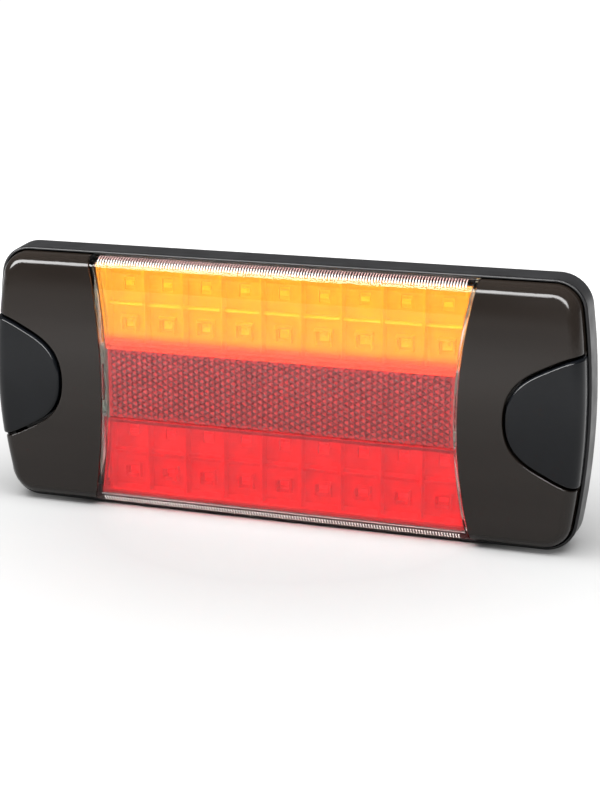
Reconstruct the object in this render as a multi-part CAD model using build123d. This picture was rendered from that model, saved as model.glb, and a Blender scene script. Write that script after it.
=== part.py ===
from build123d import *
import math
import os

# Slim LED rear combination lamp for a trailer.
# Frame: X along the length, Z up, the mounting face lies in the plane Y = 0 and the
# light shines towards -Y. Every "depth" below is a distance forward of the mounting face.
# All sizes are in millimetres.

# ---- overall sizes ----------------------------------------------------------------
lamp_length = 240.0
lamp_height = 105.0
lamp_depth = 27.0           # mounting face to the top of the crowned front
end_bow = 4.8               # how far the ends bulge between their corners
corner_radius = 13.0

# ---- base -------------------------------------------------------------------------
foot_inset = 6.0            # the foot that meets the vehicle is smaller than the rim
rim_back = 6.7              # depth of the back of the rim
shell_stand = 8.4           # how far the crown stands in front of the rim
rim_draft = 0.8             # how much the rim narrows on each side towards the front
rim_lip = 0.9               # thickness of the rim at its front edge
land_depth = 12.0           # the land that the bezels, bosses and lens seal rest on
base_floor = 3.0
base_wall = 3.0
chamber_end_inset = 5.0     # chamber wall to the end of the lens skirt
chamber_side_inset = 1.0    # chamber wall to the long side of the lens skirt
chamber_corner = 3.0
partition_gap = 1.0         # lens skirt to the hollow under each bezel
rib_thickness = 2.0
rib_drop = 1.0              # how far the ribs stop below the land
ledge_reach = 5.5           # board ledges stand this far out from the chamber's end walls
ledge_height = 12.0
ledge_place = 16.4          # chamber's long wall to the middle of a ledge
panel_recess = 1.0          # four shallow panels in the back of the foot
panel_middle_gap = 14.0
panel_middle_band = 30.0
panel_end_margin = 31.0
panel_edge_margin = 6.5
panel_corner = 4.0
foot_round = 1.0
rim_back_round = 1.0
rim_front_round = 0.7

# ---- front shell: outer lens between two bezels -----------------------------------
shell_gap = 0.7             # dark groove between rim and shell
shell_draft = 5.0           # degrees
crown_radius = 350.0        # the front is part of a cylinder along X
edge_round = 4.8            # rounding between the front and the side walls
least_round = 1.0           # the rounding of offset surfaces is never sharper than this
lens_wall = 2.4
bezel_wall = 2.2
bezel_length = 43.3         # end of the lamp to the window, at the window's corners
window_waist = 5.9          # how much further each bezel reaches at mid-height
window_wall = 1.2           # thickness of the lens's own side walls at the window's ends
window_joint = 0.5          # gap between lens and bezel
skirt_overlap = 6.8         # the lens widens behind the bezels to a skirt on the seal
skirt_rim_gap = 3.4         # skirt to the inside of the rim
skirt_wall = 1.8
skirt_rise = 0.7            # front of the skirt above the front of the rim
skirt_corner = 4.0
skirt_inner_corner = 2.5
bezel_skirt_clear = 0.3
seal_thickness = 1.0
seal_end_width = 4.5
seal_side_width = 3.5
seal_clear = 0.1            # seal to the edge of the chamber
seal_skirt_lap = 0.5        # seal beyond the end of the skirt
seal_corner = 5.0
seal_inner_corner = 3.0

# ---- screw covers and the pockets under them --------------------------------------
cover_length = 31.8         # end of the lamp to the tip of the D-shaped opening
cover_half_width = 26.0
cover_shoulder = 15.5       # end of the lamp to the shoulder of the D
cover_shoulder_drop = 4.8   # shoulder inside the full half-width
cover_straight = 2.0        # the outline runs straight over this last length
cover_end_slope = 0.12
cover_gap = 1.0             # dark groove round each cover
cover_thickness = 2.2
cover_proud = 0.6
cover_edge_round = 1.0
cover_rim_clear = 0.4
pocket_wall = 1.5
pocket_floor = 2.0
cover_skirt = 1.2
opening_round = 0.6
snap_leg_place = 7.8        # tip of the D to the snap legs
snap_leg_length = 7.0
snap_leg_clear = 1.6        # legs' tips to the pocket's floor
snap_bump = 0.4
snap_bump_height = 1.2

# ---- mounting ---------------------------------------------------------------------
mount_inset = 20.0          # end of the lamp to a mounting screw
mount_hole_r = 2.75         # clears an M5 screw
bush_r = 4.5
bush_hole_clear = 0.2
boss_r = 8.0
bush_seal_r = 7.0
bush_seal_depth = 1.2
bezel_screw_inset = 12.0    # end of the lamp to the bezel screws
bezel_screw_z = 14.0
bezel_screw_r = 1.5
bezel_screw_head_r = 2.8
bezel_screw_head = 1.8
bezel_screw_length = 9.0
screw_boss_r = 4.0
thread_clear = 0.05         # a screw in its pilot hole, on the radius
shank_clear = 0.2           # a screw through a clearance hole, on the radius
tip_clear = 0.5             # a screw's tip to the bottom of its hole

# ---- optics -----------------------------------------------------------------------
cell_columns = 9
band_half = 13.7            # half-height of the reflector band
tray_gap = 0.5
tray_edge_gap = 0.2         # tray to the chamber's long wall
tray_end_gap = 11.0         # tray to the end of the lens skirt
tray_wall = 1.0
tray_floor = 1.0
tray_drop = 10.0            # crown to the front of the tray's walls
ridge_top = 14.5            # depth of the ridge between the two rows
ridge_thickness = 1.4
collar_width = 7.0
collar_height = 6.4
collar_wall = 0.8
collar_depth = 3.0
led_hole = 4.4
led_length = 3.5
led_width = 2.8
led_body = 0.9
led_dome_r = 1.2
led_dome = 0.5
scoop_top = 15.6            # depth of the front of each upper cell's curved scoop
scoop_start = 0.72          # where in its row the scoop begins
scoop_hollow = 1.8          # how far the curve lies in from the corner, in height ...
scoop_hollow_depth = 1.2    # ... and in depth
filter_thickness = 1.6
filter_gap = 0.5
filter_end_gap = 0.3        # filter to the lens's side walls
band_drop = 1.5             # reflector behind the filters' front
band_thickness = 2.6
carrier_thickness = 1.2
carrier_leg = 1.2
peg_walls = 2.5             # locating pegs stand this many cells from the middle
peg_r = 1.2
peg_clear = 0.1
peg_stand = 0.8

# ---- electronics ------------------------------------------------------------------
board_back = 8.6
board_thickness = 1.6
board_gap = 1.4             # board to chamber wall
board_corner = 2.0
board_screw_inset = 17.1    # board's end to the outer screws
board_screw_r = 1.4
board_screw_head_r = 2.6
board_screw_head = 1.5
board_screw_length = 6.0
standoff_r = 3.4
seat_gap = 0.2              # tray to board
chip_size = (5.0, 4.0, 1.6)
chip_inset = 25.1           # insets are from the board's ends
chip_z = 20.0
resistor_size = (3.2, 1.6, 0.7)
resistor_count = 12
resistor_inset = 13.3
resistor_edge = 5.0         # from the board's long edges
diode_size = (4.4, 3.6, 2.3)
diode_x = 26.0
diode_z = 16.0
capacitor_inset = 11.1
capacitor_z = 14.0
capacitor_r = 3.15
capacitor_length = 5.4
capacitor_foot = 6.6
capacitor_foot_thickness = 0.6
terminal_length = 18.0
terminal_height = 8.0
terminal_depth = 5.2
terminal_z = 15.0           # bottom of the terminal block
terminal_ways = 3
terminal_pitch = 5.6
terminal_slot = (3.4, 4.0, 2.8)
terminal_screw_r = 1.5
terminal_screw_depth = 1.2

# ---- cable inlet and breather -----------------------------------------------------
inlet_boss_r = 10.5
inlet_boss_top = 4.6
recess_clear = 0.2          # grommet and breather in their recesses, on the radius
grommet_set_back = 0.2      # behind the mounting face
grommet_flange_r = 8.6
grommet_recess = 1.6
grommet_neck_r = 5.5
grommet_inner_r = 7.4
grommet_inner = 1.4
cable_r = 3.5
breather_r = 2.6
breather_head_r = 4.2
breather_head = 0.9
breather_set_back = 0.1
breather_reach = 1.0        # inside the base's floor
breather_bore = 0.4         # share of the plug's radius

# ---- derived ----------------------------------------------------------------------
half_length = lamp_length / 2
half_height = lamp_height / 2
beyond = lamp_depth + 1     # a depth past everything
foot_length = lamp_length - 2 * foot_inset
foot_height = lamp_height - 2 * foot_inset
rim_front = lamp_depth - shell_stand
lip_inset = rim_draft + rim_lip
shell_inset = lip_inset + shell_gap
shell_height = lamp_height - 2 * shell_inset
draft_slope = math.tan(math.radians(shell_draft))
window_half_top = half_length - bezel_length
window_half_waist = window_half_top - window_waist
lens_back = land_depth + seal_thickness
skirt_half_length = window_half_top + skirt_overlap
skirt_half_height = half_height - lip_inset - skirt_rim_gap
skirt_step = rim_front + skirt_rise
chamber_half_length = skirt_half_length - chamber_end_inset
chamber_half_height = skirt_half_height - chamber_side_inset
seal_half_length = skirt_half_length + seal_skirt_lap
seal_half_height = chamber_half_height + seal_clear + seal_side_width
board_half_length = chamber_half_length - board_gap
board_half_height = chamber_half_height - board_gap
board_front = board_back + board_thickness
board_screw_reach = board_half_length - board_screw_inset
board_screw_places = [share * board_screw_reach for share in (-1, -1 / 3, 1 / 3, 1)]
breather_x = board_screw_reach * 2 / 3
tray_back = board_front + seat_gap
tray_top = lamp_depth - tray_drop
tray_half_length = skirt_half_length - tray_end_gap
amber_bottom = band_half + tray_gap
tray_height = chamber_half_height - tray_edge_gap - amber_bottom
red_bottom = -amber_bottom - tray_height
row_height = tray_height / 2
cell_pitch = (2 * tray_half_length - tray_wall) / cell_columns
peg_x = peg_walls * cell_pitch
mount_x = half_length - mount_inset
bezel_screw_x = half_length - bezel_screw_inset
pocket_top = land_depth + pocket_floor
cover_tip = half_length - cover_length
cover_end_x = half_length - cover_straight
snap_leg_start = cover_tip + snap_leg_place
snap_leg_tip = pocket_top + snap_leg_clear
filter_inset = lens_wall + filter_gap
filter_end_inset = window_wall + filter_end_gap
band_front = lamp_depth - filter_inset - band_drop
band_back = band_front - band_thickness
panel_length = foot_length / 2 - panel_middle_gap / 2 - panel_end_margin
panel_height = foot_height / 2 - panel_middle_band / 2 - panel_edge_margin
panel_x = (panel_middle_gap + panel_length) / 2
panel_z = (panel_middle_band + panel_height) / 2
columns = [(i - (cell_columns - 1) / 2) * cell_pitch for i in range(cell_columns)]


# ---- helpers ----------------------------------------------------------------------
def at_depth(depth):
    """Sketch plane at a depth, facing forward."""
    return Plane.XZ.offset(depth)


def prism(sketch, start, end):
    """Solid of a sketch between two depths."""
    return extrude(at_depth(start) * sketch, amount=end - start)


def block(x_low, x_high, z_low, z_high, start, end):
    """Box between two depths."""
    middle = Location(((x_low + x_high) / 2, (z_low + z_high) / 2))
    return prism(middle * Rectangle(x_high - x_low, z_high - z_low), start, end)


def rod(x, z, radius, start, end):
    """Cylinder along the depth."""
    return prism(Location((x, z)) * Circle(radius), start, end)


def both_ends(solid):
    """A solid and its mirror image at the other end of the lamp."""
    return [solid, mirror(solid, about=Plane.YZ)]


def outline(length, height, corner):
    """Rounded rectangle with bowed ends."""
    half_l = length / 2
    half_h = height / 2
    right = ThreePointArc((half_l - end_bow, half_h), (half_l, 0), (half_l - end_bow, -half_h))
    left = ThreePointArc((end_bow - half_l, -half_h), (-half_l, 0), (end_bow - half_l, half_h))
    top = Line(left @ 1, right @ 0)
    bottom = Line(right @ 1, left @ 0)
    face = make_face([top, right, bottom, left])
    return fillet(face.vertices(), corner)


def tapered(rear_inset, front_inset, start, end):
    """Outline of the lamp lofted between two depths, inset by different amounts."""
    faces = []
    for depth, inset in ((start, rear_inset), (end, front_inset)):
        profile = outline(lamp_length - 2 * inset, lamp_height - 2 * inset, corner_radius - inset)
        faces.append(at_depth(depth) * profile)
    return loft(faces, ruled=True)


def window(inset):
    """Waisted window outline, wider than the shell in height."""
    wide = window_half_top - inset
    waist = window_half_waist - inset
    half_h = shell_height / 2
    right = ThreePointArc((wide, half_h), (waist, 0), (wide, -half_h))
    left = ThreePointArc((-wide, -half_h), (-waist, 0), (-wide, half_h))
    reach = lamp_height
    top = Polyline(left @ 1, (-wide, reach), (wide, reach), right @ 0)
    bottom = Polyline(right @ 1, (wide, -reach), (-wide, -reach), left @ 0)
    return make_face([top, right, bottom, left])


def dome(inset, start):
    """Front envelope, offset inwards by inset, from a depth to the crowned front."""
    rear_inset = shell_inset + inset - (rim_front - start) * draft_slope
    front_inset = shell_inset + inset + (beyond - rim_front) * draft_slope
    body = tapered(rear_inset, front_inset, start, beyond)
    axis_depth = lamp_depth - crown_radius
    crown = Plane.YZ * Location((-axis_depth, 0)) * Circle(crown_radius - inset)
    body = body & extrude(crown, amount=lamp_length, both=True)
    front = body.faces().sort_by(Axis.Y)[0]
    return fillet(front.edges(), max(edge_round - inset, least_round))


def cover_opening(grow, reach):
    """D-shaped outline at the right end, grown outwards by a distance."""
    width = cover_half_width + grow
    shoulder = (half_length - cover_shoulder - 0.45 * grow,
                cover_half_width - cover_shoulder_drop + 0.9 * grow)
    tip = (cover_tip - grow, 0)
    upper = Spline(
        (cover_end_x, width), shoulder, tip, tangents=[(-1, -cover_end_slope), (0, -1)]
    )
    lower = mirror(upper, about=Plane.XZ)
    straight = Polyline((cover_end_x, -width), (reach, -width), (reach, width), upper @ 0)
    return make_face([upper, lower, straight])


def opening_edges(solid, start):
    """Front edges of a D-shaped cut, on the extruded face nearest the lamp's middle."""
    sides = [f for f in solid.faces() if f.geom_type == GeomType.EXTRUSION]
    side = max(sides, key=lambda face: face.area)
    return [edge for edge in side.edges() if edge.center().Y < -start - 0.5]


# ---- base housing -----------------------------------------------------------------
def make_base():
    foot = prism(outline(foot_length, foot_height, corner_radius - foot_inset / 2), 0, rim_back)
    foot = fillet(foot.faces().sort_by(Axis.Y)[-1].edges(), foot_round)
    rim = tapered(0, rim_draft, rim_back, rim_front)
    rim = fillet(rim.faces().sort_by(Axis.Y)[-1].edges(), rim_back_round)
    rim = fillet(rim.faces().sort_by(Axis.Y)[0].edges(), rim_front_round)
    base = foot + rim

    pocket = outline(lamp_length - 2 * lip_inset, lamp_height - 2 * lip_inset,
                     corner_radius - lip_inset)
    base -= prism(pocket, land_depth, rim_front)

    chamber = RectangleRounded(2 * chamber_half_length, 2 * chamber_half_height,
                               chamber_corner)
    base -= prism(chamber, base_floor, land_depth)

    end_inset = foot_inset + base_wall
    hollow = outline(lamp_length - 2 * end_inset, lamp_height - 2 * end_inset,
                     corner_radius - foot_inset / 2)
    partition = skirt_half_length + partition_gap
    hollow -= Rectangle(2 * partition, lamp_height)
    base -= prism(hollow, base_floor, land_depth)
    rib_top = land_depth - rib_drop
    ribs = block(partition, half_length - end_inset, -rib_thickness / 2,
                 rib_thickness / 2, base_floor, rib_top)
    ribs += block(mount_x - rib_thickness / 2, mount_x + rib_thickness / 2,
                  end_inset - half_height, half_height - end_inset, base_floor, rib_top)
    boss = rod(mount_x, 0, boss_r, 0, land_depth)
    for z in (-bezel_screw_z, bezel_screw_z):
        boss += rod(bezel_screw_x, z, screw_boss_r, base_floor, land_depth)
    for solid in both_ends(ribs + boss):
        base += solid
    holes = rod(mount_x, 0, bush_r, 0, land_depth)
    holes += rod(mount_x, 0, bush_seal_r, 0, bush_seal_depth)
    for z in (-bezel_screw_z, bezel_screw_z):
        tip = pocket_top - bezel_screw_length - tip_clear
        holes += rod(bezel_screw_x, z, bezel_screw_r + thread_clear, tip, land_depth)
    for solid in both_ends(holes):
        base -= solid

    for x in board_screw_places:
        base += rod(x, 0, standoff_r, base_floor, board_back)
        tip = board_front - board_screw_length - tip_clear
        base -= rod(x, 0, board_screw_r + thread_clear, tip, board_back)
    for side in (-1, 1):
        z = side * (chamber_half_height - ledge_place)
        ledge = block(chamber_half_length - ledge_reach, chamber_half_length + tip_clear,
                      z - ledge_height / 2, z + ledge_height / 2, base_floor, board_back)
        for solid in both_ends(ledge):
            base += solid

    base += rod(0, 0, inlet_boss_r, 0, inlet_boss_top)
    base -= rod(0, 0, grommet_flange_r + recess_clear, 0, grommet_recess)
    base -= rod(0, 0, grommet_neck_r, grommet_recess, inlet_boss_top)
    base -= rod(breather_x, 0, breather_r, 0, base_floor)
    base -= rod(breather_x, 0, breather_head_r + recess_clear, 0, breather_head)

    for x in (-panel_x, panel_x):
        for z in (-panel_z, panel_z):
            panel = Location((x, z)) * RectangleRounded(panel_length, panel_height, panel_corner)
            base -= prism(panel, 0, panel_recess)
    return base


# ---- front shell ------------------------------------------------------------------
def make_lens():
    outer = dome(0, lens_back) & prism(window(0), lens_back, beyond)
    box = RectangleRounded(2 * skirt_half_length, 2 * skirt_half_height, skirt_corner)
    outer += prism(box, lens_back, skirt_step)
    behind = lens_back - 1
    inner = dome(lens_wall, behind) & prism(window(window_wall), behind, beyond)
    cavity = RectangleRounded(
        2 * (skirt_half_length - skirt_wall), 2 * (skirt_half_height - skirt_wall),
        skirt_inner_corner
    )
    inner += prism(cavity, behind, skirt_step - skirt_wall)
    return outer - inner


def make_seal():
    ring = RectangleRounded(2 * seal_half_length, 2 * seal_half_height, seal_corner)
    ring -= RectangleRounded(
        2 * (seal_half_length - seal_end_width), 2 * (seal_half_height - seal_side_width),
        seal_inner_corner
    )
    return prism(ring, land_depth, lens_back)


def make_bezel():
    opening = cover_opening(0, lamp_length)
    surround = cover_opening(pocket_wall, lamp_length)
    shell = dome(0, land_depth) & block(0, lamp_length, -lamp_height, lamp_height,
                                        land_depth, beyond)
    cut_shell = shell - prism(opening, rim_front, beyond)
    cut_shell = fillet(opening_edges(cut_shell, rim_front), opening_round)
    hollow = dome(bezel_wall, land_depth - 1)
    hollow -= prism(surround - opening, land_depth - 1, beyond)
    bezel = cut_shell - hollow
    bezel -= prism(window(-window_joint), land_depth, beyond)
    bezel -= block(0, seal_half_length + bezel_skirt_clear, -lamp_height, lamp_height,
                   land_depth, lens_back + bezel_skirt_clear)
    bezel += prism(surround, land_depth, pocket_top) & shell
    bezel -= rod(mount_x, 0, bush_r + bush_hole_clear, land_depth, pocket_top)
    for z in (-bezel_screw_z, bezel_screw_z):
        bezel -= rod(bezel_screw_x, z, bezel_screw_r + shank_clear, land_depth, pocket_top)
    return bezel


def make_cover():
    start = rim_front + cover_rim_clear
    end = beyond + cover_proud
    face = dome(-cover_proud, start) & prism(cover_opening(-cover_gap, lamp_length), start, end)
    face = fillet(opening_edges(face, start), cover_edge_round)
    inside = cover_opening(-cover_gap - cover_skirt, lamp_length)
    core = dome(cover_thickness - cover_proud, start - 1) & prism(inside, start - 1, end)
    cover = face - core
    ring = cover_opening(-cover_gap, lamp_length) - inside
    legs = prism(ring, snap_leg_tip, start + 1)
    bumps = cover_opening(snap_bump - cover_gap, lamp_length)
    bumps -= cover_opening(-cover_gap, lamp_length)
    legs += prism(bumps, snap_leg_tip, snap_leg_tip + snap_bump_height)
    legs &= block(snap_leg_start, snap_leg_start + snap_leg_length, -lamp_height, lamp_height,
                  0, end)
    return cover + legs


# ---- optics -----------------------------------------------------------------------
def make_filter(bottom, top, inner_edge):
    """Coloured inner lens: a crowned plate with a wall at its outer and inner edges."""
    end = lamp_depth
    outer = dome(filter_inset, tray_top) & prism(window(filter_end_inset), tray_top, end)
    plate = outer - dome(filter_inset + filter_thickness, tray_top - 1)
    wall = block(-lamp_length, lamp_length, inner_edge - filter_thickness / 2,
                 inner_edge + filter_thickness / 2, tray_top, end)
    zone = block(-lamp_length, lamp_length, bottom, top, tray_top, end)
    return (plate + (wall & outer)) & zone


def make_reflector():
    band = Rectangle(lamp_length, 2 * band_half) & window(filter_end_inset)
    return prism(band, band_back, band_front)


def make_carrier():
    band = Rectangle(lamp_length, 2 * band_half) & window(filter_end_inset)
    hollow = Rectangle(lamp_length, 2 * (band_half - carrier_leg)) & window(
        filter_end_inset + carrier_leg
    )
    return prism(band, board_front, band_back) - prism(
        hollow, board_front, band_back - carrier_thickness
    )


def make_tray(bottom):
    """Reflector tray: nine columns by two rows of cells, scoops above, collars below."""
    half = tray_half_length
    top = bottom + tray_height
    middle = bottom + row_height
    floor_front = tray_back + tray_floor
    tray = block(-half, half, bottom, top, tray_back, tray_top)
    tray -= block(tray_wall - half, half - tray_wall, bottom + tray_wall,
                  top - tray_wall, floor_front, tray_top)
    scoop_edge = (-floor_front, middle + row_height * scoop_start)
    corner = (-floor_front, top - tray_wall)
    lip = (-scoop_top, top - tray_wall)
    bend = (-floor_front - scoop_hollow_depth, top - tray_wall - scoop_hollow)
    profile = make_face(
        [Line(scoop_edge, corner), Line(corner, lip), ThreePointArc(lip, bend, scoop_edge)]
    )
    tray += extrude(Plane.YZ * profile, amount=half - tray_wall / 2, both=True)
    tray += block(-half, half, middle - ridge_thickness / 2, middle + ridge_thickness / 2,
                  tray_back, ridge_top - ridge_thickness / 2)
    ridge = Plane.YZ * Location((ridge_thickness / 2 - ridge_top, middle))
    tray += extrude(ridge * Circle(ridge_thickness / 2), amount=half - tray_wall / 2, both=True)
    for x in columns[:-1]:
        wall_x = x + cell_pitch / 2
        tray += block(wall_x - tray_wall / 2, wall_x + tray_wall / 2, bottom, top,
                      tray_back, tray_top)
    for x in columns:
        place = Location((x, bottom + row_height / 2))
        collar = Rectangle(collar_width, collar_height)
        collar -= Rectangle(collar_width - 2 * collar_wall, collar_height - 2 * collar_wall)
        tray += prism(place * collar, tray_back, floor_front + collar_depth)
        for z in (bottom + row_height / 2, bottom + row_height * 1.5):
            tray -= block(x - led_hole / 2, x + led_hole / 2, z - led_hole / 2,
                          z + led_hole / 2, tray_back, floor_front)
    for x in (-peg_x, peg_x):
        tray += rod(x, middle, peg_r, board_back - peg_stand, tray_back)
    return tray


def make_leds(bottom):
    leds = []
    for x in columns:
        for z in (bottom + row_height / 2, bottom + row_height * 1.5):
            package = block(x - led_length / 2, x + led_length / 2, z - led_width / 2,
                            z + led_width / 2, board_front, board_front + led_body)
            leds.append(package + rod(x, z, led_dome_r, board_front, board_front + led_body
                                      + led_dome))
    return leds


# ---- electronics ------------------------------------------------------------------
def make_board():
    outer = RectangleRounded(2 * board_half_length, 2 * board_half_height, board_corner)
    board = prism(outer, board_back, board_front)
    for x in board_screw_places:
        board -= rod(x, 0, board_screw_r + shank_clear, board_back, board_front)
    for x in (-peg_x, peg_x):
        for bottom in (amber_bottom, red_bottom):
            board -= rod(x, bottom + row_height, peg_r + peg_clear, board_back, board_front)
    return board


def make_screw(x, z, seat, shank_r, head_r, head, length):
    """Pan-head screw with a cross recess, its head on a seat at a depth."""
    screw = rod(x, z, shank_r, seat - length, seat)
    cap = rod(x, z, head_r, seat, seat + head)
    cap = fillet(cap.faces().sort_by(Axis.Y)[0].edges(), head * 0.4)
    screw += cap
    arm = head_r * 0.6
    slot = head_r * 0.14
    screw -= block(x - arm, x + arm, z - slot, z + slot, seat + head * 0.4, seat + head)
    screw -= block(x - slot, x + slot, z - arm, z + arm, seat + head * 0.4, seat + head)
    return screw


def make_board_screws():
    return [
        make_screw(x, 0, board_front, board_screw_r, board_screw_head_r,
                   board_screw_head, board_screw_length)
        for x in board_screw_places
    ]


def make_bezel_screws():
    screws = []
    for z in (-bezel_screw_z, bezel_screw_z):
        screws += both_ends(
            make_screw(bezel_screw_x, z, pocket_top, bezel_screw_r, bezel_screw_head_r,
                       bezel_screw_head, bezel_screw_length)
        )
    return screws


def on_board_back(places, size):
    """Box-shaped components soldered to the back of the board."""
    length, height, thickness = size
    return [
        block(x - length / 2, x + length / 2, z - height / 2, z + height / 2,
              board_back - thickness, board_back)
        for x, z in places
    ]


def four_places(x, z):
    """A place mirrored to all four quarters of the board."""
    return [(side_x * x, side_z * z) for side_x in (-1, 1) for side_z in (-1, 1)]


def make_chips():
    return on_board_back(four_places(board_half_length - chip_inset, chip_z), chip_size)


def make_resistors():
    reach = board_half_length - resistor_inset
    row = board_half_height - resistor_edge
    pitch = 2 * reach / (resistor_count - 1)
    places = [(i * pitch - reach, z) for i in range(resistor_count) for z in (-row, row)]
    return on_board_back(places, resistor_size)


def make_diodes():
    return on_board_back(four_places(diode_x, diode_z), diode_size)


def make_capacitors():
    cans = []
    half = capacitor_foot / 2
    foot_back = board_back - capacitor_foot_thickness
    for x, z in four_places(board_half_length - capacitor_inset, capacitor_z):
        can = rod(x, z, capacitor_r, board_back - capacitor_length, foot_back)
        cans.append(can + block(x - half, x + half, z - half, z + half, foot_back, board_back))
    return cans


def make_terminal_block():
    """Three-way block: a slot for each wire from below, and a clamp screw above it."""
    back = board_back - terminal_depth
    body = block(-terminal_length / 2, terminal_length / 2, terminal_z,
                 terminal_z + terminal_height, back, board_back)
    width, reach, depth = terminal_slot
    slot_back = back + terminal_screw_depth
    for i in range(terminal_ways):
        x = (i - (terminal_ways - 1) / 2) * terminal_pitch
        body -= block(x - width / 2, x + width / 2, terminal_z, terminal_z + reach,
                      slot_back, slot_back + depth)
        screw_z = terminal_z + reach + terminal_screw_r
        body -= rod(x, screw_z, terminal_screw_r, back, slot_back)
    return body


# ---- mounting, cable inlet and vent ------------------------------------------------
def make_bushes():
    bush = rod(mount_x, 0, bush_r, 0, pocket_top) - rod(mount_x, 0, mount_hole_r, 0, pocket_top)
    return both_ends(bush)


def make_bush_seals():
    ring = rod(mount_x, 0, bush_seal_r, 0, bush_seal_depth)
    return both_ends(ring - rod(mount_x, 0, bush_r, 0, bush_seal_depth))


def make_grommet():
    front = inlet_boss_top + grommet_inner
    body = rod(0, 0, grommet_flange_r, grommet_set_back, grommet_recess)
    body += rod(0, 0, grommet_neck_r, grommet_recess, inlet_boss_top)
    body += rod(0, 0, grommet_inner_r, inlet_boss_top, front)
    return body - rod(0, 0, cable_r, grommet_set_back, front)


def make_breather():
    inner = base_floor + breather_reach
    plug = rod(breather_x, 0, breather_head_r, breather_set_back, breather_head)
    plug += rod(breather_x, 0, breather_r, breather_head, inner)
    return plug - rod(breather_x, 0, breather_r * breather_bore, breather_head, inner)


# ---- write one file for each piece --------------------------------------------------
def main():
    bezel = make_bezel()
    cover = make_cover()
    amber_edge = amber_bottom + filter_thickness / 2
    pieces = {
        "base_housing": make_base(),
        "outer_lens": make_lens(),
        "lens_seal": make_seal(),
        "right_bezel": bezel,
        "left_bezel": mirror(bezel, about=Plane.YZ),
        "right_screw_cover": cover,
        "left_screw_cover": mirror(cover, about=Plane.YZ),
        "amber_filter": make_filter(amber_bottom, lamp_height, amber_edge),
        "red_filter": make_filter(-lamp_height, -amber_bottom, -amber_edge),
        "reflex_reflector": make_reflector(),
        "reflector_carrier": make_carrier(),
        "amber_reflector_tray": make_tray(amber_bottom),
        "red_reflector_tray": make_tray(red_bottom),
        "amber_leds": make_leds(amber_bottom),
        "red_leds": make_leds(red_bottom),
        "circuit_board": make_board(),
        "driver_chips": make_chips(),
        "resistors": make_resistors(),
        "protection_diodes": make_diodes(),
        "capacitors": make_capacitors(),
        "terminal_block": make_terminal_block(),
        "board_screws": make_board_screws(),
        "bezel_screws": make_bezel_screws(),
        "mounting_bushes": make_bushes(),
        "bush_seals": make_bush_seals(),
        "cable_grommet": make_grommet(),
        "breather_plug": make_breather(),
    }
    os.makedirs("parts", exist_ok=True)
    for name, piece in pieces.items():
        if isinstance(piece, list):
            piece = Compound(children=piece)
        export_step(piece, f"parts/{name}.step")
        solids = piece.solids()
        print(name, round(sum(s.volume for s in solids)), "mm3", len(solids), "solids")


main()
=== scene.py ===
# %% [markdown]
# # A slim trailer tail light
# The lamp is a black base, a clear lens between two dark end bezels, and an amber and a red lamp
# chamber with a reflex band between them. The engineering model is already built and packed, so
# this lesson starts from it. Nothing is moved. Three looks are made here: finishes for every
# part, fluted filters, and moulded optics that repeat hundreds of times.

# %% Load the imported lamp
import math

import bmesh
import bpy
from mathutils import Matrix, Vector
from mathutils.bvhtree import BVHTree


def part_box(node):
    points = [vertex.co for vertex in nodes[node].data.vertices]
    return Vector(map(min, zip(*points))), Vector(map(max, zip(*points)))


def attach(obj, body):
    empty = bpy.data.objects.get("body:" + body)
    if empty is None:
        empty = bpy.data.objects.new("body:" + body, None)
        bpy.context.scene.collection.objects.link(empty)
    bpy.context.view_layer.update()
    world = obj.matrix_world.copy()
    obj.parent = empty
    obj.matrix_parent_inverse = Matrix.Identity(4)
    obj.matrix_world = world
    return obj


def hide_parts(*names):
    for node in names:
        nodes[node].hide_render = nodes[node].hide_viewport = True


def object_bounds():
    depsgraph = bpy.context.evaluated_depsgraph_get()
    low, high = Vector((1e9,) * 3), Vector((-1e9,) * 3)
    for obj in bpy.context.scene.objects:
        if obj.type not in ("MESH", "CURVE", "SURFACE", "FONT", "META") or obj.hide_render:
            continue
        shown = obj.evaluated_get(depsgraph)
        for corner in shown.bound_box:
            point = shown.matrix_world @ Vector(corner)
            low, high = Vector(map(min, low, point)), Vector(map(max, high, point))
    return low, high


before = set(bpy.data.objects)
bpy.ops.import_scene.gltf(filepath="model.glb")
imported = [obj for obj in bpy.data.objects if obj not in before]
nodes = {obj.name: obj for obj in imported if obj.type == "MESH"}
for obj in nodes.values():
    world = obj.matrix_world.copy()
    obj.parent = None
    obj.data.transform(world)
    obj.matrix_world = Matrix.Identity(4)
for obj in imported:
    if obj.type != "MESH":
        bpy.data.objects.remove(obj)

scene = bpy.context.scene
mm = 0.001
cad_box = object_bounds()
print("parts:", len(nodes), "size in mm:", [round(v / mm, 1) for v in cad_box[1] - cad_box[0]])

# %% [markdown]
# ## Floor and light
# A small glossy black product is lit with large soft sources, because what shows on gloss is the
# shape of the light around it. Two softboxes, overhead and high in front, light the colours and
# don't show in the gloss. A long strip lower in front shows only in gloss, and draws the bright
# line along every rounded upper edge. The sky is a plain pale grey for light, and white where the
# camera looks straight at it.

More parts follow.
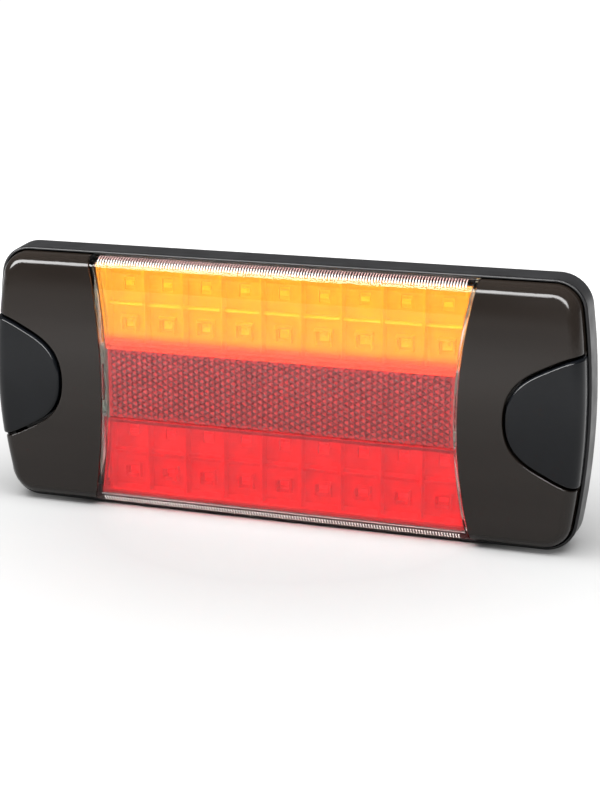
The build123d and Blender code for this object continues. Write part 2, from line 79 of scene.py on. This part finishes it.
# %% Floor
floor_size = 12.0
floor_grey = 0.26
floor_roughness = 0.9
floor_gloss = 0.1
floor_near, floor_far = 0.08, 0.42     # metres from the lamp: drawn floor, then plain white
bpy.ops.mesh.primitive_plane_add(size=floor_size, location=(0, 0, cad_box[0].z))
floor = bpy.context.object
floor.name = "floor"
floor_paint = bpy.data.materials.new("floor_paint")
floor_paint.use_nodes = True
floor_shader = floor_paint.node_tree.nodes["Principled BSDF"]
floor_shader.inputs["Base Color"].default_value = (floor_grey, floor_grey, floor_grey, 1)
floor_shader.inputs["Roughness"].default_value = floor_roughness
floor_shader.inputs["Specular IOR Level"].default_value = floor_gloss
floor_shader.inputs["Emission Color"].default_value = (1, 1, 1, 1)
floor_place = floor_paint.node_tree.nodes.new("ShaderNodeTexCoord")
floor_reach = floor_paint.node_tree.nodes.new("ShaderNodeVectorMath")
floor_reach.operation = "LENGTH"
floor_fade = floor_paint.node_tree.nodes.new("ShaderNodeMapRange")
floor_fade.inputs["From Min"].default_value = floor_near
floor_fade.inputs["From Max"].default_value = floor_far
floor_links = floor_paint.node_tree.links
floor_links.new(floor_place.outputs["Object"], floor_reach.inputs[0])
floor_links.new(floor_reach.outputs["Value"], floor_fade.inputs["Value"])
floor_links.new(floor_fade.outputs["Result"], floor_shader.inputs["Emission Strength"])
floor.data.materials.append(floor_paint)

# %% Sky
sky_light = 0.28
sky_seen = 1.0
world = bpy.data.worlds.new("studio")
world.use_nodes = True
scene.world = world
sky = world.node_tree
sky.nodes.clear()
light_path = sky.nodes.new("ShaderNodeLightPath")
lighting = sky.nodes.new("ShaderNodeBackground")
lighting.inputs["Strength"].default_value = sky_light
backdrop = sky.nodes.new("ShaderNodeBackground")
backdrop.inputs["Color"].default_value = (1, 1, 1, 1)
backdrop.inputs["Strength"].default_value = sky_seen
choice = sky.nodes.new("ShaderNodeMixShader")
sky_out = sky.nodes.new("ShaderNodeOutputWorld")
sky.links.new(light_path.outputs["Is Camera Ray"], choice.inputs[0])
sky.links.new(lighting.outputs[0], choice.inputs[1])
sky.links.new(backdrop.outputs[0], choice.inputs[2])
sky.links.new(choice.outputs[0], sky_out.inputs[0])

# %% Softboxes
def softbox(name, place, target, width, height, power):
    """A rectangular lamp that points from its place at a target."""
    data = bpy.data.lights.new(name, "AREA")
    data.shape = "RECTANGLE"
    data.size = width
    data.size_y = height
    data.energy = power
    lamp = bpy.data.objects.new(name, data)
    lamp.location = place
    lamp.rotation_euler = (Vector(target) - Vector(place)).to_track_quat("-Z", "Y").to_euler()
    lamp.visible_camera = False
    scene.collection.objects.link(lamp)
    return lamp


overhead = softbox("overhead", (0.0, -0.20, 0.66), (0.0, -0.01, 0.0), 1.2, 0.50, 22)
overhead.visible_glossy = False
front_fill = softbox("front_fill", (-0.15, -0.85, 0.90), (0.0, 0.0, 0.0), 0.9, 0.5, 4)
front_fill.visible_glossy = False
edge_strip = softbox("edge_strip", (-0.30, -0.92, 0.46), (0.0, 0.0, 0.0), 1.7, 0.40, 60)
edge_strip.visible_diffuse = False
edge_strip.visible_transmission = False
scene.view_settings.view_transform = "Standard"

# %% [markdown]
# ## Camera
# The lamp stands on its long edge and is seen from the front, a little from the right and from
# above. A long lens from a short distance keeps the right end slightly larger than the left.

# %% Camera
view_azimuth = math.radians(17.68)
view_elevation = math.radians(16.05)
view_distance = 0.6213
view_target = Vector((0.0098, -0.0234, -0.0001))
toward_camera = Vector((
    math.sin(view_azimuth) * math.cos(view_elevation),
    -math.cos(view_azimuth) * math.cos(view_elevation),
    math.sin(view_elevation),
))
camera_data = bpy.data.cameras.new("camera")
camera_data.sensor_width = 36.0
camera_data.lens = 73.5
camera_data.clip_start = 0.01
camera = bpy.data.objects.new("camera", camera_data)
camera.location = view_target + toward_camera * view_distance
camera.rotation_euler = (-toward_camera).to_track_quat("-Z", "Y").to_euler()
scene.collection.objects.link(camera)
scene.camera = camera

# %% [markdown]
# ## Finishes: how they are mixed
# Every finish is built from nodes. Object coordinates are metres in the lamp's own frame, so a
# pattern has a real scale, and it stays put on the part. A few small helpers keep the recipes
# short: one starts a finish with its Principled shader, one gives a noise field of a wanted grain,
# and the others drive a colour, a roughness or a relief with that field.

# %% Finish helpers
field_low, field_high = 0.3, 0.7       # the part of a noise field's range that is put to use


def finish(name, **values):
    """A new material, with the given values set on its Principled shader."""
    material = bpy.data.materials.new(name)
    material.use_nodes = True
    shader = material.node_tree.nodes["Principled BSDF"]
    for label, value in values.items():
        socket = shader.inputs[label.replace("_", " ").title().replace("Ior", "IOR")]
        socket.default_value = (*value, 1) if isinstance(value, tuple) else value
    return material


def part_of(material):
    """The node tree, its links and its Principled shader."""
    tree = material.node_tree
    return tree, tree.links, tree.nodes["Principled BSDF"]


def noise(material, grain_mm, detail=2.0, stretch=(1, 1, 1)):
    """A noise field whose lumps are about grain_mm across, from 0 to 1."""
    tree, links, _ = part_of(material)
    place = tree.nodes.new("ShaderNodeTexCoord")
    mapping = tree.nodes.new("ShaderNodeMapping")
    mapping.inputs["Scale"].default_value = stretch
    field = tree.nodes.new("ShaderNodeTexNoise")
    field.inputs["Scale"].default_value = 1 / (grain_mm * mm)
    field.inputs["Detail"].default_value = detail
    links.new(place.outputs["Object"], mapping.inputs["Vector"])
    links.new(mapping.outputs["Vector"], field.inputs["Vector"])
    return field.outputs["Fac"]


def spread(material, field, low, high, socket):
    """Drives a shader input with a field, from low to high."""
    tree, links, shader = part_of(material)
    scale = tree.nodes.new("ShaderNodeMapRange")
    scale.inputs["From Min"].default_value = field_low
    scale.inputs["From Max"].default_value = field_high
    scale.inputs["To Min"].default_value = low
    scale.inputs["To Max"].default_value = high
    links.new(field, scale.inputs["Value"])
    links.new(scale.outputs["Result"], shader.inputs[socket])


def tones(material, field, dark, light):
    """Blends the base colour between two tones with a field."""
    tree, links, shader = part_of(material)
    ramp = tree.nodes.new("ShaderNodeValToRGB")
    ends = ((field_low, dark), (field_high, light))
    for element, (position, tone) in zip(ramp.color_ramp.elements, ends):
        element.position = position
        element.color = (*tone, 1)
    links.new(field, ramp.inputs["Fac"])
    links.new(ramp.outputs["Color"], shader.inputs["Base Color"])
    return ramp


def grain(material, field, height_mm):
    """Raises a fine surface texture by a real height."""
    tree, links, shader = part_of(material)
    bump = tree.nodes.new("ShaderNodeBump")
    bump.inputs["Distance"].default_value = height_mm * mm
    links.new(field, bump.inputs["Height"])
    links.new(bump.outputs["Normal"], shader.inputs["Normal"])


def paint(names, material):
    """Gives a finish to carried-over parts."""
    for name in names:
        mesh = nodes[name].data
        mesh.materials.clear()
        mesh.materials.append(material)


# %% [markdown]
# ## Black and smoked plastics
# The base is a fine-grained black moulding. The bezels are a dark brown-black with a high gloss,
# and the screw covers a cooler black. Gloss plastic is never one value: its polish drifts
# slowly over the part, and a trace of flow shows along the length.

# %% Plastics
def plastic(name, dark, light, polish, texture_mm, height_mm, flow=(1, 1, 1), gloss=0.42):
    """Moulded plastic: two tones, a polish that drifts, and a surface grain."""
    material = finish(name, specular_ior_level=gloss)
    tones(material, noise(material, 14.0, 3.0, flow), dark, light)
    spread(material, noise(material, 9.0, 2.0, flow), *polish, "Roughness")
    grain(material, noise(material, texture_mm, 2.0), height_mm)
    return material


base_black = plastic("base_black", (0.006, 0.006, 0.0065), (0.010, 0.010, 0.011),
                     (0.30, 0.40), 0.35, 0.02, gloss=0.22)
bezel_smoke = plastic("bezel_smoke", (0.0105, 0.0078, 0.0062), (0.0135, 0.0102, 0.0082),
                      (0.09, 0.15), 2.5, 0.004, (0.15, 1, 1), gloss=0.26)
cover_black = plastic("cover_black", (0.0022, 0.0027, 0.0036), (0.0036, 0.0042, 0.0054),
                      (0.13, 0.20), 2.0, 0.004, gloss=0.20)
paint(["base_housing"], base_black)
paint(["right_bezel", "left_bezel"], bezel_smoke)
paint(["right_screw_cover", "left_screw_cover"], cover_black)

# %% [markdown]
# ## Clear and coloured plastics
# Polished clear plastic bends light, so it needs a transmitting shader. Lamps can't send their
# light straight through a refracting wall, though, and the chambers would stay dark. The usual
# answer is to let shadow rays through as if the wall were a tinted sheet.

# %% Clear plastics
def clear_finish(name, colour, roughness, ior, weight=1.0):
    """Transmitting plastic, with a tinted way through for light from the lamps."""
    material = finish(name, base_color=colour, roughness=roughness, ior=ior,
                      transmission_weight=weight)
    tree, links, shader = part_of(material)
    through = tree.nodes.new("ShaderNodeBsdfTransparent")
    through.inputs["Color"].default_value = (*[math.sqrt(v) for v in colour], 1)
    path = tree.nodes.new("ShaderNodeLightPath")
    mix = tree.nodes.new("ShaderNodeMixShader")
    output = tree.nodes["Material Output"]
    links.new(path.outputs["Is Shadow Ray"], mix.inputs[0])
    links.new(shader.outputs[0], mix.inputs[1])
    links.new(through.outputs[0], mix.inputs[2])
    links.new(mix.outputs[0], output.inputs["Surface"])
    return material


lens_clear = clear_finish("lens_clear", (0.97, 0.965, 0.955), 0.01, 1.25)
grain(lens_clear, noise(lens_clear, 6.0), 0.004)
paint(["outer_lens"], lens_clear)

# %% Amber and red
amber_low, amber_high = 16.0 * mm, 23.0 * mm     # where the amber gives way to salmon
filter_roughness = 0.03
filter_ior = 1.28
filter_clarity = 0.88


def coloured_filter(name, colour, low_colour=None):
    """A coloured clear plastic, that may change colour with height."""
    material = clear_finish(name, colour, filter_roughness, filter_ior, filter_clarity)
    tree, links, shader = part_of(material)
    if low_colour is not None:
        place = tree.nodes.new("ShaderNodeTexCoord")
        split = tree.nodes.new("ShaderNodeSeparateXYZ")
        climb = tree.nodes.new("ShaderNodeMapRange")
        climb.inputs["From Min"].default_value = amber_low
        climb.inputs["From Max"].default_value = amber_high
        links.new(place.outputs["Object"], split.inputs[0])
        links.new(split.outputs["Z"], climb.inputs["Value"])
        ramp = tones(material, climb.outputs["Result"], low_colour, colour)
        through = next(n for n in tree.nodes if n.type == "BSDF_TRANSPARENT")
        links.new(ramp.outputs["Color"], through.inputs["Color"])
    grain(material, noise(material, 4.0, 1.0, (0.2, 1, 1)), 0.002)
    return material


amber_clear = coloured_filter("amber_clear", (0.97, 0.48, 0.060), (0.93, 0.20, 0.10))
red_clear = coloured_filter("red_clear", (0.80, 0.032, 0.045))

# %% [markdown]
# ## Inside the chambers
# The trays are vacuum-silvered so that they throw the light forward. Real silvering on a moulded
# tray isn't a mirror: it is a greyish, slightly milky metal. The board has a pale solder mask for
# the same reason. Steel, rubber and the small parts are plain finishes from two short tables.

# %% Silver and inner parts
small_part_relief = 0.02
metal_relief = 0.01
silver = finish("silvered_plastic", metallic=0.5)
tones(silver, noise(silver, 5.0), (0.44, 0.44, 0.43), (0.62, 0.62, 0.61))
spread(silver, noise(silver, 2.5), 0.12, 0.20, "Roughness")
paint(["amber_reflector_tray", "red_reflector_tray"], silver)

for label, names, dark, light, rough, texture in (
    ("white_plastic", ["reflector_carrier", "terminal_block"], (0.72, 0.72, 0.70),
     (0.80, 0.80, 0.78), (0.40, 0.50), 0.4),
    ("led_package", ["amber_leds", "red_leds"], (0.80, 0.79, 0.72), (0.88, 0.87, 0.80),
     (0.25, 0.35), 0.3),
    ("board_green", ["circuit_board"], (0.46, 0.52, 0.46), (0.52, 0.58, 0.51),
     (0.32, 0.42), 0.5),
    ("component_black", ["driver_chips", "resistors", "protection_diodes"], (0.012, 0.012, 0.013),
     (0.022, 0.022, 0.024), (0.45, 0.55), 0.2),
    ("black_rubber", ["lens_seal", "bush_seals", "cable_grommet"], (0.010, 0.010, 0.010),
     (0.017, 0.017, 0.017), (0.62, 0.78), 0.25),
    ("vent_plastic", ["breather_plug"], (0.030, 0.031, 0.033), (0.045, 0.046, 0.048),
     (0.45, 0.55), 0.2),
):
    material = plastic(label, dark, light, rough, texture, small_part_relief)
    paint(names, material)

for label, names, dark, light in (
    ("zinc_steel", ["board_screws", "bezel_screws", "mounting_bushes"], (0.56, 0.57, 0.58),
     (0.70, 0.71, 0.72)),
    ("capacitor_can", ["capacitors"], (0.72, 0.73, 0.74), (0.82, 0.83, 0.84)),
):
    material = finish(label, metallic=1.0)
    tones(material, noise(material, 1.5), dark, light)
    spread(material, noise(material, 0.8), 0.28, 0.42, "Roughness")
    grain(material, noise(material, 0.3), metal_relief)
    paint(names, material)

# %% [markdown]
# ## Fluted filters
# Each coloured inner lens is a crowned plate with a wall at both long edges, and fine flutes along
# its front that spread the light up and down. Rays shot at the engineering part from the front and
# the back give its section, and the flutes are cut into the front line. The section is then drawn
# out along the lamp, and its ends follow the waisted window. Mesh code suits it, because the flutes
# are part of the same skin as the walls.

# %% Section of a filter
def box_mm(name):
    """Lowest and highest corner of a part, in millimetres."""
    low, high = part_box(name)
    return low / mm, high / mm


flute_pitch = 1.6
flute_depth = 0.08
flute_margin = 3.4       # plain strip along the outer edge
section_step = 0.1
section_edge = 0.01      # the first and last rays pass just inside the edges


def filter_section(name):
    """Closed section of a filter as (y, z) points: its fluted front, then its back."""
    skin = BVHTree.FromObject(nodes[name], bpy.context.evaluated_depsgraph_get())
    low, high = box_mm(name)
    inner, outer = sorted((abs(low.z), abs(high.z)))
    side = 1 if low.z > 0 else -1
    shots = ((low.y - 1, 1), (high.y + 1, -1))       # start and direction, from front and back
    count = round((outer - inner) / section_step)
    lines = ([], [])
    for i in range(count + 1):
        z = inner + section_edge + (outer - inner - 2 * section_edge) * i / count
        groove = flute_depth * (1 - abs(math.sin(math.pi * (z - inner) / flute_pitch)))
        dips = (groove if z < outer - flute_margin else 0, 0)
        for line, (start, way), dip in zip(lines, shots, dips):
            hit = skin.ray_cast(Vector((0, start, side * z)) * mm, Vector((0, way, 0)))[0]
            line.append((hit.y / mm + dip, side * z))
    front, back = lines
    return front + back[::-1]


# %% Waisted ends
band_high = box_mm("reflex_reflector")[1]
filter_high = box_mm("amber_filter")[1]
end_curve = (filter_high.x - band_high.x) / (filter_high.z ** 2 - band_high.z ** 2)
waist = band_high.x - end_curve * band_high.z ** 2
ring_count = 9


def half_length(z):
    """Half the length of a filter or the band at a height: narrowest at mid-height."""
    return waist + end_curve * z * z


def drawn_out(name, section):
    """A closed solid with a section drawn out along X between the waisted ends."""
    mesh = bpy.data.meshes.new(name)
    form = bmesh.new()
    rings = []
    for i in range(ring_count):
        share = 2 * i / (ring_count - 1) - 1
        rings.append([form.verts.new((share * half_length(z) * mm, y * mm, z * mm))
                      for y, z in section])
    for first, second in zip(rings, rings[1:]):
        for i in range(len(section)):
            j = (i + 1) % len(section)
            form.faces.new((first[i], first[j], second[j], second[i]))
    form.faces.new(rings[0])
    form.faces.new(rings[-1])
    bmesh.ops.recalc_face_normals(form, faces=form.faces)
    form.to_mesh(mesh)
    form.free()
    piece = bpy.data.objects.new(name, mesh)
    scene.collection.objects.link(piece)
    return piece


def settle(piece, material, replaced=()):
    """Finishes a new piece of the lamp's body: its material, the body it hangs from and the parts
    it stands for.
    """
    piece.data.materials.clear()
    piece.data.materials.append(material)
    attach(piece, "lamp")
    if replaced:
        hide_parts(*replaced)
    print(piece.name, len(piece.data.polygons), "faces")


for name, node, material, slot in (
    ("amber_fluted_filter", "amber_filter", amber_clear, "amber_lens"),
    ("red_fluted_filter", "red_filter", red_clear, "red_lens"),
):
    settle(drawn_out(name, filter_section(node)), material, replaced=[node])

# %% [markdown]
# ## Geometry Nodes: a small workbench
# The optics below repeat hundreds of times, so each is made by a node tree: one shape, a pattern of
# points, and an instance on every point. The tree has named inputs for its sizes. Its result is
# turned into a plain mesh at once, because instances don't survive an export.

# %% Tree helpers
socket_kinds = {
    int: "NodeSocketInt", float: "NodeSocketFloat", Vector: "NodeSocketVector",
    bpy.types.Object: "NodeSocketObject", bpy.types.Material: "NodeSocketMaterial",
}


def new_tree(name, sizes):
    """A geometry tree with one named input for each size. Returns it and those inputs."""
    tree = bpy.data.node_groups.new(name, "GeometryNodeTree")
    for label, value in sizes.items():
        tree.interface.new_socket(label, in_out="INPUT", socket_type=socket_kinds[type(value)])
    tree.interface.new_socket("Mesh", in_out="OUTPUT", socket_type="NodeSocketGeometry")
    return tree, tree.nodes.new("NodeGroupInput").outputs


def add(tree, kind, feeds, **settings):
    """Adds a node, sets its properties, feeds its inputs and returns its first output."""
    made = tree.nodes.new(kind)
    for label, value in settings.items():
        setattr(made, label, value)
    for socket, source in feeds.items():
        if isinstance(source, bpy.types.NodeSocket):
            tree.links.new(source, made.inputs[socket])
        else:
            made.inputs[socket].default_value = source
    return made.outputs[0]


def close_tree(tree, copies, material):
    """Ends a tree: real geometry in place of instances, a material, and the output."""
    real = add(tree, "GeometryNodeRealizeInstances", {"Geometry": copies})
    coated = add(tree, "GeometryNodeSetMaterial", {"Geometry": real, "Material": material})
    tree.links.new(coated, tree.nodes.new("NodeGroupOutput").inputs[0])


def grown(name, tree, sizes):
    """Runs a tree and returns its result as a plain mesh object."""
    maker = bpy.data.objects.new(name + "_maker", bpy.data.meshes.new(name + "_seed"))
    scene.collection.objects.link(maker)
    modifier = maker.modifiers.new("grow", "NODES")
    modifier.node_group = tree
    for item in tree.interface.items_tree:
        if item.in_out == "INPUT":
            modifier[item.identifier] = sizes[item.name]
    bpy.context.view_layer.update()
    depsgraph = bpy.context.evaluated_depsgraph_get()
    mesh = bpy.data.meshes.new_from_object(maker.evaluated_get(depsgraph))
    maker.modifiers.remove(modifier)
    bpy.data.objects.remove(maker)
    piece = bpy.data.objects.new(name, mesh)
    scene.collection.objects.link(piece)
    return piece


# %% [markdown]
# ## Reflex band
# A reflex reflector sends light back where it came from. Its back is a honeycomb of cube corners:
# three faces at right angles that meet in a pit. Each cell here is one raised hexagon with such a
# pit. Rows of cells are staggered, which leaves the scalloped edge along the top and bottom.

# %% One cube-corner cell
cell_flats = 2.5
cell_gap = 0.34
cell_lift = 0.35
cell_lip = 0.16
pit_depth = 0.9
shallow_corner = 0.5     # share of the pit's depth at every second corner


def prism_cell():
    """A hexagon across X and Z that faces -Y, with a three-sided pit."""
    mesh = bpy.data.meshes.new("prism_cell")
    form = bmesh.new()
    outer = (cell_flats - cell_gap) / math.sqrt(3)
    inner = outer - cell_lip
    angles = [math.radians(60 * i) for i in range(6)]
    foot = [form.verts.new((outer * math.cos(a), 0, outer * math.sin(a))) for a in angles]
    rim = [form.verts.new((outer * math.cos(a), -cell_lift, outer * math.sin(a))) for a in angles]
    lip = [form.verts.new((inner * math.cos(a), -cell_lift, inner * math.sin(a))) for a in angles]
    pit = form.verts.new((0, pit_depth - cell_lift, 0))
    for i in range(6):
        j = (i + 1) % 6
        form.faces.new((foot[i], foot[j], rim[j], rim[i]))
        form.faces.new((rim[i], rim[j], lip[j], lip[i]))
    for i in (1, 3, 5):
        lip[i].co.y += shallow_corner * pit_depth
        form.faces.new((lip[i - 1], lip[i], lip[(i + 1) % 6], pit))
    bmesh.ops.scale(form, vec=(mm, mm, mm), verts=form.verts)
    bmesh.ops.recalc_face_normals(form, faces=form.faces)
    form.to_mesh(mesh)
    form.free()
    cell = bpy.data.objects.new("prism_cell", mesh)
    scene.collection.objects.link(cell)
    return cell


# %% Honeycomb tree
def honeycomb(sizes):
    """Columns of cells along X. Every second column is shorter and shifted by half a cell."""
    tree, given = new_tree("honeycomb", sizes)

    def work(operation, first, second=0.0):
        return add(tree, "ShaderNodeMath", {0: first, 1: second}, operation=operation)

    total = work("MULTIPLY", given["Columns"], given["Rows"])
    points = add(tree, "GeometryNodeMeshLine", {"Count": total})
    index = add(tree, "GeometryNodeInputIndex", {})
    column = work("FLOOR", work("DIVIDE", index, given["Rows"]))
    row = work("SUBTRACT", index, work("MULTIPLY", column, given["Rows"]))
    middle_column = work("DIVIDE", work("SUBTRACT", given["Columns"], 1.0), 2.0)
    middle_row = work("DIVIDE", work("SUBTRACT", given["Rows"], 1.0), 2.0)
    odd = work("MODULO", column, 2.0)
    steps = work("ADD", work("SUBTRACT", row, middle_row), work("MULTIPLY", odd, 0.5))
    x = work("MULTIPLY", work("SUBTRACT", column, middle_column), given["Across"])
    z = work("MULTIPLY", steps, given["Up"])
    place = add(tree, "ShaderNodeCombineXYZ", {"X": x, "Y": given["Depth"], "Z": z})
    placed = add(tree, "GeometryNodeSetPosition", {"Geometry": points, "Position": place})
    beyond = work("GREATER_THAN", steps, work("ADD", middle_row, 0.1))
    kept = add(tree, "GeometryNodeDeleteGeometry", {"Geometry": placed, "Selection": beyond},
               domain="POINT")
    shape = tree.nodes.new("GeometryNodeObjectInfo")
    tree.links.new(given["Cell"], shape.inputs["Object"])
    copies = add(tree, "GeometryNodeInstanceOnPoints",
                 {"Points": kept, "Instance": shape.outputs["Geometry"]})
    close_tree(tree, copies, given["Finish"])
    return tree


# %% Reflector plate and its cells
reflector_low, reflector_high = box_mm("reflex_reflector")
plate_front = reflector_low.y + cell_lift
prism_red = finish("prism_red", specular_ior_level=0.25)
tones(prism_red, noise(prism_red, 3.0), (0.050, 0.001, 0.002), (0.075, 0.002, 0.003))
spread(prism_red, noise(prism_red, 1.0), 0.30, 0.42, "Roughness")
plate_red = finish("plate_red", specular_ior_level=0.3)
tones(plate_red, noise(plate_red, 6.0), (0.22, 0.009, 0.011), (0.28, 0.013, 0.015))
spread(plate_red, noise(plate_red, 2.0), 0.22, 0.32, "Roughness")

band = reflector_high.z
plate_section = [(plate_front, -band), (plate_front, band), (reflector_high.y, band),
                 (reflector_high.y, -band)]
settle(drawn_out("reflex_plate", plate_section), plate_red,
       replaced=["reflex_reflector"])

cell = prism_cell()
across = cell_flats * math.sqrt(3) / 2
cell_rows = 11
comb_sizes = {
    "Cell": cell, "Columns": 2 * int((waist - cell_flats / 2) / across) + 1,
    "Rows": cell_rows, "Across": across * mm, "Up": cell_flats * mm,
    "Depth": plate_front * mm, "Finish": prism_red,
}
prisms = grown("reflex_prisms", honeycomb(comb_sizes), comb_sizes)
bpy.data.objects.remove(cell)
settle(prisms, prism_red)

# %% [markdown]
# ## Ribs on the lens's long edges
# Two rows of fine cross ribs run along the top and bottom of the lens. They hide what is behind the
# edge. Their glitter in white light is partly real, from the tubes' curve, and partly a painted
# highlight: the front rows get a whiter, less clear copy of the lens plastic. Each rib is a thin
# tube bent over the rounded edge. Rays shot at the lens find the edge, so the ribs follow the real
# surface, and a node tree repeats them. The rear rows are painted darker and pinker, as painted
# shade and a painted show-through of the red and the seal behind them.

# %% Find the rounded edge
lens_skin = BVHTree.FromObject(nodes["outer_lens"], bpy.context.evaluated_depsgraph_get())
edge_middle = Vector((0.0, -19.4, 44.8)) * mm     # centre of the edge's rounding
shot_length = 20 * mm


def edge_point(degrees, side, sink):
    """Point of the lens's skin around its long edge, sunk into the lens by a distance."""
    angle = math.radians(degrees)
    way = Vector((0, -math.cos(angle), math.sin(angle)))
    hit = lens_skin.ray_cast(edge_middle + way * shot_length, -way)[0] - way * sink
    return Vector((0, hit.y, side * hit.z))


# %% Rib tree
rib_bends = 5
rib_sides = 6


def rib_row(sizes):
    """A bent tube, repeated along X at a pitch."""
    tree, given = new_tree("rib_row", sizes)
    arc = add(tree, "GeometryNodeCurveArc", {"Resolution": rib_bends, "Start": given["Start"],
              "Middle": given["Middle"], "End": given["End"]}, mode="POINTS")
    round_section = add(tree, "GeometryNodeCurvePrimitiveCircle",
                        {"Resolution": rib_sides, "Radius": given["Radius"]})
    tube = add(tree, "GeometryNodeCurveToMesh",
               {"Curve": arc, "Profile Curve": round_section, "Fill Caps": True})
    step = add(tree, "ShaderNodeCombineXYZ", {"X": given["Pitch"]})
    start = add(tree, "ShaderNodeCombineXYZ", {"X": given["From"]})
    line = add(tree, "GeometryNodeMeshLine",
               {"Count": given["Count"], "Start Location": start, "Offset": step})
    copies = add(tree, "GeometryNodeInstanceOnPoints", {"Points": line, "Instance": tube})
    close_tree(tree, copies, given["Finish"])
    return tree


# %% Four rows of ribs
rib_pitch = 1.1
rib_radius = 0.24
rib_sink = 0.08
rib_margin = 1.6
# Painted light: the front ribs get a whiter, less clear copy of the lens plastic as a painted
# highlight, and the rear ribs get a darker pink copy as painted shade and painted show-through.
rib_painted_highlight = clear_finish("rib_painted_highlight_finish", (0.96, 0.93, 0.91), 0.08, 1.45, 0.55)
tones(rib_painted_highlight, noise(rib_painted_highlight, 1.0), (0.88, 0.85, 0.83), (0.98, 0.95, 0.93))
rib_painted_shade = clear_finish("rib_painted_shade_finish", (0.78, 0.58, 0.56), 0.08, 1.45, 0.75)
tones(rib_painted_shade, noise(rib_painted_shade, 1.0), (0.66, 0.48, 0.46), (0.80, 0.60, 0.58))
rib_reach = filter_high.x - rib_margin
rib_count = int(2 * rib_reach / rib_pitch) + 1
for label, side, (first, last), clear in (
    ("upper_rear", 1, (86, 60), rib_painted_shade), ("upper_front", 1, (57, 33), rib_painted_highlight),
    ("lower_rear", -1, (86, 60), rib_painted_shade), ("lower_front", -1, (57, 33), rib_painted_highlight),
):
    rib_sizes = {
        "Start": edge_point(first, side, rib_sink * mm),
        "Middle": edge_point((first + last) / 2, side, rib_sink * mm),
        "End": edge_point(last, side, rib_sink * mm),
        "Radius": rib_radius * mm, "Pitch": rib_pitch * mm,
        "From": -rib_pitch * (rib_count - 1) / 2 * mm, "Count": rib_count, "Finish": clear,
    }
    row = grown("lens_ribs_" + label, rib_row(rib_sizes), rib_sizes)
    settle(row, clear)
